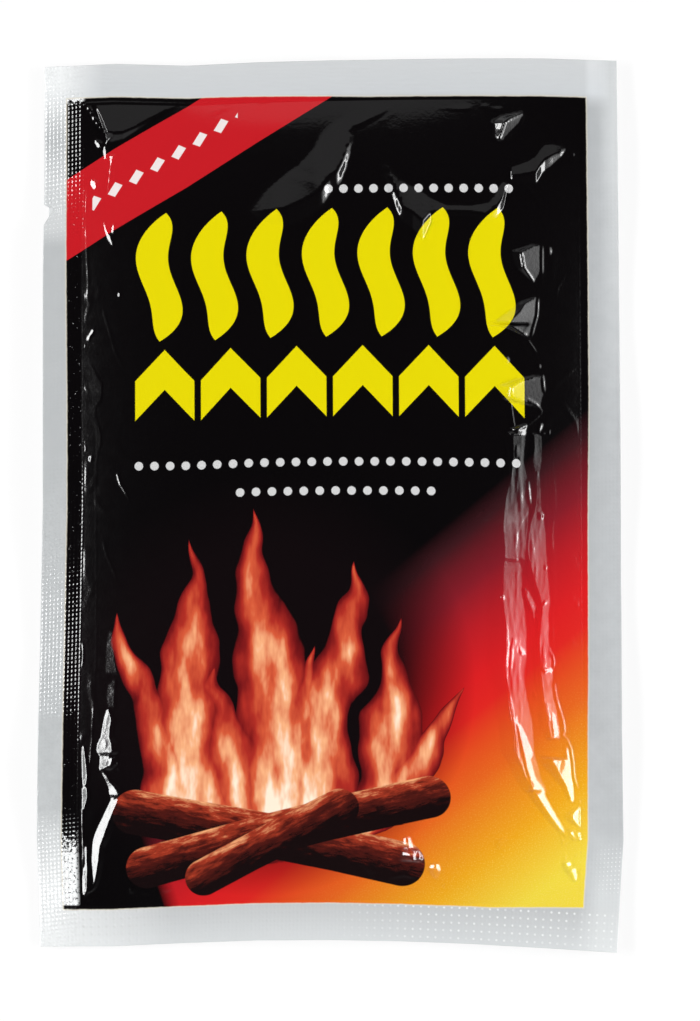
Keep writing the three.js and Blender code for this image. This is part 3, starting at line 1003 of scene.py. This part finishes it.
outer_fold_degrees = [
    22.3, 22.5, 22.6, 22.2, 22.2, 22.4, 22.8, 23.4, 23.6, 23.6, 23.8, 23.4, 23.2, 23.6, 24, 25.5, 25,
    24.5, 25.5, 24.6, 25, 25.4, 26, 27, 28, 27,
]
facet(outer_fold_degrees, outer_fold)
facet(inner_fold_degrees, inner_fold)

# Smaller facets: the degrees that each faces right, or left where less than 0, and its stations
facets_on_folds = [
    (32, [(714, 514, 516.4), (720, 514, 517.5), (726, 516.4, 522), (734, 518.6, 525.7),
        (743, 520.7, 529.3), (753, 522.9, 533), (758.6, 524.3, 530), (767, 525.7, 533), (776, 528.6, 535),
        (783, 530.7, 540.7), (787, 532.5, 543.5), (794, 535.5, 545.5), (800, 539, 548.6),
        (807, 543.5, 552.4), (814, 548, 556.4), (821, 553, 560.5), (827, 557.5, 564), (832, 562, 567),
        (837, 566, 570)]),
    (32, [(829, 569, 575), (834, 570, 577.6), (839, 574, 580)]),
    (32, [(831, 576, 581), (835, 577, 583), (839, 579, 584.6)]),
    (32, [(713, 550.7, 554.5), (720, 551, 556), (728, 552, 557.4), (735, 553, 558)]),
    (29, [(703, 545, 551), (712, 546, 551.5), (720, 548, 551)]),
    (32, [(666, 540, 541.5), (667.5, 541, 552), (669.5, 543, 553), (671, 545, 551)]),
    (32, [(647, 518.6, 522), (650, 519, 524), (654, 521, 526)]),
    (28, [(638, 512, 521), (648, 510, 519), (660, 509, 514), (668, 509, 512)]),
    (30, [(645.7, 541.4, 544), (655.7, 541.6, 544.3)]),
    (32, [(758, 551, 570), (763, 552.6, 571), (770, 556.6, 571.8), (778, 561, 572.6), (786, 565.4, 573.4),
        (794, 568, 574), (802, 570.4, 574)]),
    (31, [(747, 565, 569), (754, 565.6, 570), (761, 566, 570.4)]),
    (32, [(806, 578, 580.5), (811, 573, 583.6), (815, 571, 584.6), (820, 572, 585.7), (825, 577, 585.8),
        (830, 582, 585)]),
    (32, [(860, 564.6, 570.4), (866, 566, 571.6), (872, 569, 572.4)]),
    (32, [(867, 570, 576), (873, 571.6, 577), (880, 574, 577.4)]),
    (31, [(600.5, 531, 533), (603, 533, 535), (606, 535.4, 537)]),
    (26, [(588, 523, 527), (596, 525, 531), (606, 529, 536), (612, 531, 534), (619, 532, 533.6)]),
    (32, [(600, 545, 548.6), (602, 543.6, 548), (604, 543, 546.4)]),
    (25, [(549, 517, 519), (554, 514, 521), (558, 512, 523.6)]),
    (27, [(445.7, 515.4, 518), (452, 515, 520), (458, 515.4, 518.6)]),
    (31, [(566, 544.6, 548), (569, 544.6, 547)]),
]
for degrees, stations in facets_on_folds:
    facet(degrees, stations, back_slope=0.5)

facets_at_right = [
    (24.4, [(247, 532, 541), (253, 520, 541), (262, 521.6, 541), (270, 523.4, 540.6), (276, 527, 538),
        (283, 531.6, 534)]),
    (27, [(298.5, 534, 536.7), (304, 524, 536.7), (312, 519, 536), (318, 513, 534.6), (325, 507, 532.6)]),
    (24, [(325, 507, 532.6), (330, 514, 531.4), (336, 523, 530.4)]),
    (23.2, [(377, 533, 541.6), (381, 522, 542.4), (387, 511, 543), (394, 511, 543.3), (400, 512, 541.6),
        (407, 534, 540)]),
    (30.5, [(424, 525.6, 527), (427, 520, 526.6), (431, 514, 526), (436, 512.4, 526)]),
    (32, [(424, 540, 543.6), (429, 538.6, 542), (433, 538, 540)]),
    (32, [(432.6, 542, 545), (435, 542.4, 546)]),
    (31, [(430, 548.4, 550), (434, 548, 550)]),
    (31, [(473, 536, 538.4), (477, 536.4, 538)]),
    (25, [(837, 504, 510), (841, 499, 508), (846, 498, 503)]),
    (24, [(114, 520, 523), (118, 510, 524), (124, 504, 521), (130, 502, 515), (136, 500, 511),
        (140, 498, 507), (143, 500, 504)]),
    (32, [(834, 407, 411), (842, 407.4, 413.4), (850, 408.6, 416)]),
    (32, [(847, 410.6, 420), (853, 411.4, 422), (859, 413, 424.4)]),
    (32, [(851, 418, 421.6), (856.4, 419, 425.6)]),
    (32, [(862, 435.6, 440), (867, 435, 441.4), (873, 435, 441), (877, 435.4, 438.4)]),
    (32, [(862, 366.4, 369), (867, 370, 373), (872, 373.6, 376)]),
    (32, [(881, 444, 446), (885, 443, 445.4)]),
]
for degrees, stations in facets_at_right:
    facet(degrees, stations, back_slope=0.5)

# Broad facets near the top that face up the print, each at columns of the photograph with its two ends
top_tilt = 20.5
facets_at_top = [
    [(250, 211, 214), (260, 197, 214), (266, 190, 213), (286, 174, 210), (302, 162, 203),
     (314, 148, 197), (322, 134, 190), (330, 127, 178), (338, 120, 172), (345, 117, 160),
     (351, 110, 141), (353, 106, 128), (360, 100, 126), (368, 100, 122), (384, 100, 114),
     (396, 101, 106)],
    [(383, 160, 166), (388, 166, 180), (395, 175, 196), (400, 180, 208), (412, 187, 214),
     (422, 192, 223), (430, 198, 214), (445, 205, 213), (470, 206, 213), (486, 203, 216),
     (494, 193, 210), (502, 182, 198), (506, 183, 188)],
    [(434, 107.6, 109.4), (446, 107, 110), (458, 105, 111), (466, 104, 111), (471, 106, 109)],
    [(481, 105, 108), (485, 103.6, 109), (488, 104, 108)],
    [(490, 107, 110), (498, 107, 111), (506, 108, 110)],
    [(511, 167, 177), (520, 164, 176), (528, 161, 174.6), (535, 156, 173), (540, 148.6, 165),
     (544, 145, 160), (552, 144, 156), (560, 145, 153), (565, 148, 150)],
]
for stations in facets_at_top:
    facet(top_tilt, stations, upright=False)
# One more, across the upper left corner of the panel, behind which the film falls back more steeply
corner_tilt = 19
corner_facet = [
    (90, 98, 101), (98, 98, 110), (103, 98, 121), (108, 98, 134), (114, 98, 135), (124, 98, 134),
    (140, 98, 127), (158, 98, 117), (176, 98, 107), (186, 98, 101),
]
facet(corner_tilt, corner_facet, back_slope=0.8, upright=False)

facets_at_left = [
    (-18.6, [(351, 87, 88.5), (360, 88.4, 91), (376, 88, 98), (384, 89, 103), (393, 90.6, 103),
        (402, 92, 101.6), (408, 89, 97), (414, 91, 96.4), (425, 94, 99.6), (434, 96, 102),
        (444, 97, 102.6), (452, 96.4, 100), (460, 95, 98.4), (470, 95.4, 97.8), (500, 95.6, 97.2),
        (560, 96.2, 97.8), (640, 96.4, 98), (663, 95.4, 97.4), (707, 93, 95)]),
    (-22, [(707, 93, 95), (740, 91.6, 93.6), (765, 89, 91.4), (784, 86.6, 89)]),
    (-20.4, [(630, 110, 114), (645, 107.6, 115), (660, 107, 116.6), (673, 106.4, 119)]),
    (-20.6, [(679, 114, 117), (685, 109, 116.6), (696, 107.6, 116), (707, 109.4, 115.4)]),
    (-26.8, [(709, 107.8, 110), (718.6, 105, 113), (727, 103.5, 111.4), (736, 102, 110.7),
        (743, 98.4, 113), (750.5, 97.7, 113.6), (756, 101.3, 110.7), (765, 100.6, 107.8),
        (769, 100, 105)]),
    (-25.5, [(739.6, 103, 107), (743, 102, 108), (746.4, 103, 107)]),
    (-25.5, [(711, 108, 110.4), (719, 106.4, 108.6), (727, 105.4, 107)]),
    (-25.5, [(754.8, 112, 114.4), (762, 108.4, 113.6), (769, 106.4, 111)]),
    (-25.5, [(762, 114.4, 116.4), (766, 116.6, 119.4), (772, 121.6, 123)]),
    (-25.5, [(769, 101.3, 103.5), (773.6, 103.5, 107.8), (779.5, 106.4, 110.7), (783.8, 108.5, 115),
        (788, 110, 118), (792.5, 110, 119.7), (797, 112, 120)]),
    (-25.5, [(797, 112.4, 120), (800, 111, 119.4), (805, 108.6, 117.4), (810, 106.2, 115),
        (815, 103.8, 113), (820, 101.4, 110.8), (825, 99, 109), (830, 96.8, 107), (835, 95, 105.4),
        (840, 93.8, 103.6), (846, 93, 101.3), (852, 92.6, 100.6), (859, 92.2, 100), (866.5, 92.2, 98.8),
        (873.7, 91.2, 97.7), (881, 90.4, 96), (886.8, 89, 94), (891, 88.3, 91)]),
    (-26.4, [(846, 84, 88), (866, 84, 88.6), (880, 83, 88.6), (890, 83, 88), (895, 84, 86)]),
    (-25.5, [(876, 83, 86), (888, 83, 86.6), (894, 84, 86)]),
    (-28, [(746, 83, 85), (760, 83, 87), (775, 83.4, 88.4), (785, 84, 87)]),
    (-25.5, [(745.6, 83, 84.6), (749.6, 83.2, 84.8)]),
    (-28, [(787, 83, 88), (796, 83.4, 88.6), (808, 83, 85.6)]),
    (-28, [(808, 82.6, 84), (840, 82.8, 84.2), (866, 82.8, 84.4)]),
    (-25.5, [(102, 83, 85.4), (107.5, 84.2, 87.6)]),
    (-25.5, [(106, 86.8, 89), (111.5, 88, 91.2)]),
    (-25.5, [(110.5, 89.6, 91.8), (116.5, 90.4, 93.4)]),
    (-25.5, [(115.5, 92, 94.4), (121.5, 93.2, 96.4)]),
    (-25.5, [(120.5, 95.2, 97.4), (126.5, 96.6, 100)]),
    (-25.5, [(125.5, 98.6, 101), (131, 100.2, 103.2)]),
    (-25.5, [(130, 102.2, 104.6), (136, 103.8, 107)]),
    (-25.5, [(135, 105.8, 107.6), (146, 106.4, 108.2)]),
    (-25.5, [(141, 95, 97), (144, 95.6, 101), (149, 98, 101.6)]),
    (-25.5, [(147, 104.4, 106.6), (152, 103.6, 107.4), (161, 105.4, 107.6)]),
    (-25.5, [(153, 98.6, 99.8), (156, 99.6, 100.8)]),
    (-25.5, [(157, 110, 114.4), (161, 111, 113.8), (170, 110.6, 112), (183, 109.4, 110.8),
        (194, 108.2, 109.4)]),
    (-25.5, [(180, 92, 94.6), (184, 91, 97), (188, 92, 98), (191.4, 94.4, 97)]),
    (-25.5, [(223, 104.4, 105.8), (231, 105.6, 108.4), (236, 107, 111), (241, 109, 113),
        (247, 113, 114.6)]),
    (-25.5, [(225.7, 113.6, 115.4), (231, 112.4, 115.4), (237, 111, 114)]),
    (-25.5, [(883.6, 165, 167), (888, 163.6, 168.4), (891, 164.4, 167)]),
    (-25.5, [(856, 200, 202), (863.6, 200, 202)]),
    (-25.5, [(441, 84, 86), (446, 84, 86)]),
    (-25.5, [(474, 117, 119), (484, 119.6, 122), (491, 124, 126.6), (500, 130, 131)]),
    (-25.5, [(330.4, 92.4, 94.8), (334, 91, 94.4), (337, 88.6, 91.4), (341, 87, 90)]),
    (-25.5, [(345.6, 84, 86.4), (350, 83.4, 85.4)]),
]
for degrees, stations in facets_at_left:
    facet(degrees, stations, back_slope=0.45)

# Thin creases and scratches
creases = [
    [(522, 114), (504, 123), (502, 130), (498, 141)],
    [(524, 117), (520, 126), (510, 136), (504, 143)],
    [(504, 330), (527, 342), (532, 349), (536, 355)],
    [(507, 326), (530, 340)],
    [(520, 253), (523, 270), (533, 283)],
    [(541, 246), (541, 276)],
    [(537, 298), (536, 316), (530, 338)],
    [(511, 387), (509, 400), (511.7, 420), (514, 433)],
    [(511, 387), (523, 380), (541.6, 377), (543.3, 393)],
    [(511, 401.7), (526.7, 400), (535, 405), (541.7, 413)],
    [(541, 413), (526.7, 425), (514, 431)],
    [(508, 694), (510.7, 711), (513.6, 726), (515, 740), (515, 750), (517, 759), (520.7, 764),
     (524.3, 776), (530, 783), (533, 794)],
    [(550, 651), (552.9, 660), (552, 668)],
    [(552.9, 681), (555, 697), (559.3, 711), (562, 720), (563.6, 730), (561.4, 734), (566.4, 740),
     (570, 748.6), (572, 761), (573, 776), (575, 783), (577, 788)],
    [(576.4, 797), (582, 804), (585.7, 811), (586.4, 826), (586.4, 837), (583.6, 844), (579.3, 851),
     (573.6, 855.7)],
    [(558, 830), (563, 845), (566.4, 840), (580.7, 838.6), (585.7, 833)],
    [(564.3, 851), (564.3, 861)],
    [(527, 480), (529, 505)],
    [(533, 690), (535.6, 700)],
    [(391, 876), (403, 873), (417, 876)],
    [(453, 848), (446, 864)],
    [(457, 836), (455, 843)],
    [(413, 861), (426, 858.6)],
    [(369, 863), (376, 863)],
    [(402, 884), (411, 885), (420, 887)],
]
crease_rise = 0.1
crease_width = 0.26
for route in creases:
    crease(route, crease_rise, crease_width)
faint_rise = 0.022
faint_creases = [
    [(85, 194), (85.7, 219), (87.9, 254), (89.3, 283), (88.6, 304)],
    [(104, 310), (110, 330), (116, 352), (124, 368)],
    [(104, 540), (108, 556), (118, 578)],
    [(504, 514), (502, 523), (502, 534)],
    [(504.3, 559.3), (524, 559.6), (546.4, 559.3)],
    [(538, 203), (550, 201)],
    [(537, 209), (549, 207)],
    [(538, 216), (547, 214)],
    [(536, 222), (545, 221)],
]
for route in faint_creases:
    crease(route, faint_rise, crease_width)

pimples = [
    (121, 296, 3, 3), (85, 449, 3, 3), (92, 459, 3, 3), (79, 327, 3, 3), (91, 898, 4, 3),
    (132.6, 889, 4, 5), (144.6, 891, 3, 3), (128, 862, 2, 2), (502, 855, 3, 4), (526, 872, 3, 4),
    (505, 361, 5, 6), (548, 252, 4, 6), (538, 367, 3, 3), (571.6, 155.6, 3, 3), (78, 655, 8, 20),
    (540, 516, 4, 4), (501.4, 597, 3, 3),
]
for place_and_size in pimples:
    pimple(*place_and_size)

# Fine wrinkles that run along the right folds, and shallow crumples where the film is loose. Their places
# and lengths are in pixels of the photograph, and their rises and widths in millimetres.
wrinkle_count = 240
wrinkle_columns, wrinkle_rows = (500, 556), (432, 690)
wrinkle_lengths, wrinkle_slant, wrinkle_bow = (12, 60), 0.07, 1
wrinkle_rises, wrinkle_widths = (0.004, 0.018), (0.2, 0.5)
crumple_count = 150
share_beside_pad = 0.62
pad_side_columns, column_scatter = [80, 105, 500, 560], 13
pad_end_rows, row_scatter = [120, 160, 870, 890], 14
loose_columns, loose_rows = (80, 580), (105, 900)
crumple_turn, turn_scatter = 90, 28
crumple_lengths, crumple_bow = (14, 46), 3
crumple_rises, crumple_widths = (0.01, 0.035), (0.3, 1)
chance = np.random.default_rng(7)
for _ in range(wrinkle_count):
    start_x, start_y = chance.uniform(*wrinkle_columns), chance.uniform(*wrinkle_rows)
    length = chance.uniform(*wrinkle_lengths)
    end_x, end_y = start_x + chance.normal(0, wrinkle_slant) * length, start_y + length
    middle = ((start_x + end_x) / 2 + chance.normal(0, wrinkle_bow), (start_y + end_y) / 2)
    rise, width = chance.uniform(*wrinkle_rises), chance.uniform(*wrinkle_widths)
    crease([(start_x, start_y), middle, (end_x, end_y)], rise, width, fade=1)
for _ in range(crumple_count):
    if chance.random() < share_beside_pad:
        start_x = chance.choice(pad_side_columns) + chance.normal(0, column_scatter)
        start_y = chance.uniform(*loose_rows)
        turn = math.radians(chance.normal(crumple_turn, turn_scatter))
    else:
        start_x = chance.uniform(*loose_columns)
        start_y = chance.choice(pad_end_rows) + chance.normal(0, row_scatter)
        turn = math.radians(chance.uniform(0, 180))
    length = chance.uniform(*crumple_lengths)
    run_x, run_y = math.cos(turn) * length, math.sin(turn) * length
    middle = (start_x + run_x / 2 + chance.normal(0, crumple_bow), start_y + run_y / 2)
    rise, width = chance.uniform(*crumple_rises), chance.uniform(*crumple_widths)
    crease([(start_x, start_y), middle, (start_x + run_x, start_y + run_y)], rise, width, fade=2)

edge_fade = 0.25
from_seal = np.minimum(side_seal_inner - np.abs(panel_x), hollow_half_length - np.abs(panel_y))
panel_height = plain_height + film_top + crumple * np.clip(from_seal / edge_fade, 0, 1)
front_panel = make_sheet("front_panel", panel_columns, panel_rows, lambda x, y: panel_height)
dress(front_panel, front_finish, "wrapper", "wrapper_front_film")


# The printed ink
# One thin layer of ink on the inner side of the outer film, as large as the print. It lies just under
# the film and takes its colour from the same artwork.
ink_spacing = 1.2
ink_clearance = 0.01
ink_columns = grid(print_left, print_right, ink_spacing)
ink_rows = grid(print_bottom, print_top, ink_spacing)
ink_sheet = make_sheet("printed_ink", ink_columns, ink_rows,
                       lambda x, y: front_height(x, y) + ink_top - ink_clearance)
dress(ink_sheet, front_finish, "wrapper", "wrapper_print_layer")


# The sealing films
# A soft, milky inner film on each web. The two melt into each other along the seals and lie loose over
# the pad between them.
def make_film_finish(name, dark, pale, roughness, cloud_scale):
    """A bare film, a little cloudy in its colour and its gloss."""
    roughness_spread, least_roughness = 0.13, roughness - 0.05
    finish = bpy.data.materials.new(name)
    recipe = Recipe(finish)
    place = recipe.node("ShaderNodeUVMap", uv_map="flat_place").outputs["UV"]
    cloud = recipe.noise(place, cloud_scale, detail=5.0, roughness=0.6)
    colour = recipe.ramp(cloud, [(0.3, dark), (0.7, pale)])
    film_look = {"Base Color": colour, "Roughness": cloud * roughness_spread + least_roughness}
    finish_surface(recipe, film_look, cloud, strength=0.25, depth=0.0001)
    return finish


sealant_finish = make_film_finish("milky_sealing_film", ink(214, 217, 218), ink(228, 230, 231),
                                  roughness=0.36, cloud_scale=0.8)
sealant_spacing = 1.2
sealant_columns = grid(-half_width, half_width, sealant_spacing)
sealant_rows = grid(-half_length, half_length, sealant_spacing)
# Each film: its solid, the surface that it follows, and 1 for the front or -1 for the back
sealants = {
    "front_sealing_film": ("wrapper_front_sealant", front_height, 1),
    "back_sealing_film": ("wrapper_back_sealant", back_height, -1),
}
for name, (node, followed, side) in sealants.items():
    sheet = make_sheet(name, sealant_columns, sealant_rows, lambda x, y: followed(x, y) + side * sealant_top,
                       turned=side < 0)
    dress(sheet, sealant_finish, "wrapper", node)


# The back web
# The back's outer film is pale and bare. The same jaws emboss its seals, and the weight of the pad
# presses it flat under its middle.
back_finish = make_film_finish("pale_back_film", ink(198, 201, 203), ink(212, 214, 216),
                               roughness=0.2, cloud_scale=0.4)
back_film_drop = sheet_gap / 2 + back_web_thickness
back_emboss_share = 0.6
back_skirt = skirt_clearance - back_film_drop
back_spacing = 0.5


def back_film_height(x, y):
    return back_height(x, y) - back_film_drop + np.abs(emboss(x, y)) * back_emboss_share


for name, (columns, rows, cut_edges) in seals.items():
    sheet = make_sheet("back_" + name, columns, rows, back_film_height, turned=True, skirt=cut_edges,
                       skirt_drop=back_skirt)
    dress(sheet, back_finish, "wrapper", "wrapper_back_film")
back_columns = grid(-side_seal_inner, side_seal_inner, back_spacing)
back_rows = grid(-hollow_half_length, hollow_half_length, back_spacing)
back_panel = make_sheet("back_panel", back_columns, back_rows, back_film_height, turned=True)
dress(back_panel, back_finish, "wrapper", "wrapper_back_film")


# The pad's covers
# Two sheets of spun-bonded white fabric, which let the air in. They are bonded in a fine pattern of dots
# and heat-sealed to each other in a flat edge round the powder.
pad_seal_width = 5
pad_back_flatness = 2.4
bond_pitch = 1.3
bond_depth = 0.05
cover_spacing = 0.33
cover_top = sheet_gap / 2 + pad_membrane_thickness + sheet_gap + pad_cover_thickness


def powder_surface(side, x, y):
    """The height where the powder ends, on the front of the pad for side 1 and on its back for -1."""
    inner_half_width, inner_half_length = pad_half_width - pad_seal_width, pad_half_length - pad_seal_width
    full = fullness(x, y, inner_half_width, inner_half_length, across_power=3, along_power=4)
    if side > 0:
        return middle_height + pad_front_rise * full
    return middle_height - pad_back_drop * np.minimum(1, pad_back_flatness * full)


def bond_dots(x, y):
    one_way = np.cos(2 * np.pi * (x + y) / bond_pitch / math.sqrt(2))
    other_way = np.cos(2 * np.pi * (x - y) / bond_pitch / math.sqrt(2))
    return bond_depth * np.clip((one_way + other_way) / 2, 0, 1)


def as_cut(x, y):
    return x, y


fabric_finish = bpy.data.materials.new("non_woven_white")
recipe = Recipe(fabric_finish)
place = recipe.node("ShaderNodeUVMap", uv_map="flat_place").outputs["UV"]
fibres = recipe.noise(recipe.stretched(place, (1.0, 0.35, 1.0)), 6.0, detail=6.0, roughness=0.75)
colour = recipe.ramp(fibres, [(0.35, ink(226, 224, 216)), (0.65, ink(246, 245, 240))])
fabric_look = {"Base Color": colour, "Roughness": 0.88, "Sheen Weight": 0.25}
finish_surface(recipe, fabric_look, fibres, strength=0.5, depth=0.0002)

cover_columns = grid(-pad_half_width, pad_half_width, cover_spacing)
cover_rows = grid(-pad_half_length, pad_half_length, cover_spacing)
for name, side in (("front_cover", 1), ("back_cover", -1)):
    cover = make_sheet(name, cover_columns, cover_rows,
                       lambda x, y: powder_surface(side, x, y) + side * (cover_top - bond_dots(x, y)),
                       placed=as_cut, turned=side < 0)
    dress(cover, fabric_finish, "heating_pad", "pad_" + name)


# The pad's membranes
# A thin milky film behind each cover, which lies on the powder. It is sealed in with the cover's edge, and
# the needle holes that meter the air are too fine to show.
membrane_finish = make_film_finish("pad_membrane_film", ink(222, 224, 222), ink(236, 237, 235),
                                   roughness=0.42, cloud_scale=1.4)
membrane_spacing = 1.5
membrane_top = sheet_gap / 2 + pad_membrane_thickness
membrane_columns = grid(-pad_half_width, pad_half_width, membrane_spacing)
membrane_rows = grid(-pad_half_length, pad_half_length, membrane_spacing)
for name, side in (("front_membrane", 1), ("back_membrane", -1)):
    membrane = make_sheet(name, membrane_columns, membrane_rows,
                          lambda x, y: powder_surface(side, x, y) + side * membrane_top,
                          placed=as_cut, turned=side < 0)
    dress(membrane, membrane_finish, "heating_pad", "pad_" + name)


# The heating powder
# A loose charge of iron powder, charcoal, salt and vermiculite, which settles into one mass between the
# membranes. Its solid stays as it is and gets a grainy finish.
powder_finish = bpy.data.materials.new("iron_and_charcoal_powder")
recipe = Recipe(powder_finish)
place = recipe.node("ShaderNodeTexCoord").outputs["Object"]
grains = recipe.node("ShaderNodeTexVoronoi", {"Vector": place, "Scale": 1400.0}).outputs
colour = recipe.ramp(grains["Color"], [
    (0.0, ink(30, 28, 27)),
    (0.8, ink(66, 58, 52)),
    (0.96, ink(170, 158, 138)),
])
powder_look = {"Base Color": colour, "Roughness": 0.9}
finish_surface(recipe, powder_look, grains["Distance"], strength=0.8, depth=0.0003)
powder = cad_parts["heating_powder"]
powder.data.materials.clear()
powder.data.materials.append(powder_finish)
